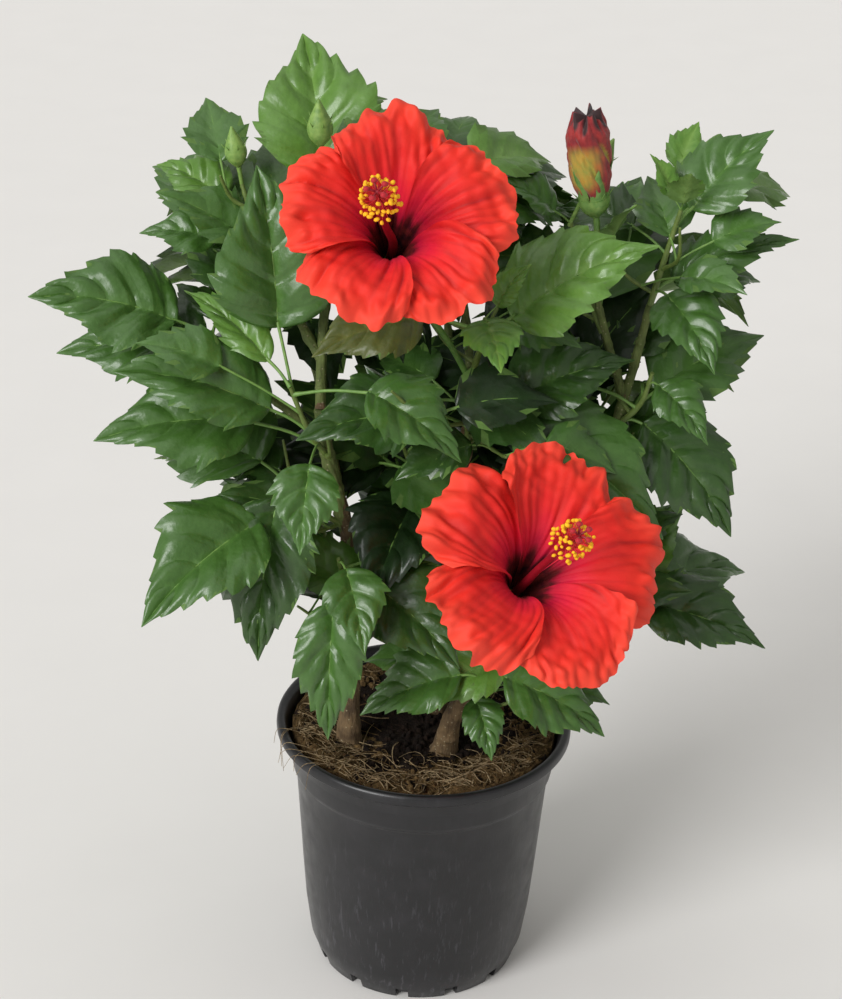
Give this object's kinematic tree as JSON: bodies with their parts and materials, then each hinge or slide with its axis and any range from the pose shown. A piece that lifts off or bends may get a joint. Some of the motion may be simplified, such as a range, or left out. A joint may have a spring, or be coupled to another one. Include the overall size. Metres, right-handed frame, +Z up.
{
  "type": "potted hibiscus shrub",
  "caption": "Flowering hibiscus shrub in a round black nursery pot, with open red blooms, a rolled faded bloom, green buds and toothed glossy leaves on slender stems.",
  "frame": {"origin": "centre of the pot's flat underside", "axes": "+Z up along the pot's axis to the top of the crown, -Y is the front where the open blooms face, +X to the right seen from the front"},
  "size_m": [0.3329, 0.2825, 0.4442],
  "materials": {
    "pot_plastic": "satin moulded plastic",
    "soil": "rough, moist peat and coir",
    "bark": "rough young bark",
    "green_bark": "smooth green bark",
    "leaves": "glossy leaf",
    "petals": "soft petal",
    "rolled_petals": "soft faded petal"
  },
  "bodies": {
    "root": {"pot": "pot_plastic", "soil": "soil", "stem_left": "bark", "stem_middle": "bark", "stem_right": "bark", "bough_top": "green_bark", "bough_left": "green_bark", "bough_upper_left": "green_bark", "bough_back_left": "green_bark", "bough_back": "green_bark", "bough_mid_top": "green_bark", "bough_right": "green_bark", "bough_faded": "green_bark", "bough_back_right": "green_bark", "foliage_left": "leaves", "foliage_left_front": "leaves", "foliage_upper_left": "leaves", "foliage_top": "leaves", "foliage_lower_left": "leaves", "foliage_bottom_left": "leaves", "foliage_centre_top": "leaves", "foliage_centre": "leaves", "foliage_back_top": "leaves", "foliage_upper_right": "leaves", "foliage_right": "leaves", "foliage_top_right": "leaves", "foliage_right_low": "leaves", "foliage_bottom": "leaves", "foliage_inner_left": "leaves", "foliage_inner_right": "leaves", "foliage_back_left": "leaves", "foliage_back": "leaves", "foliage_back_right": "leaves", "foliage_back_low": "leaves", "foliage_low_left": "leaves", "bloom_upper": "petals", "bloom_lower": "petals", "bloom_faded": "rolled_petals"}
  },
  "joints": []
}
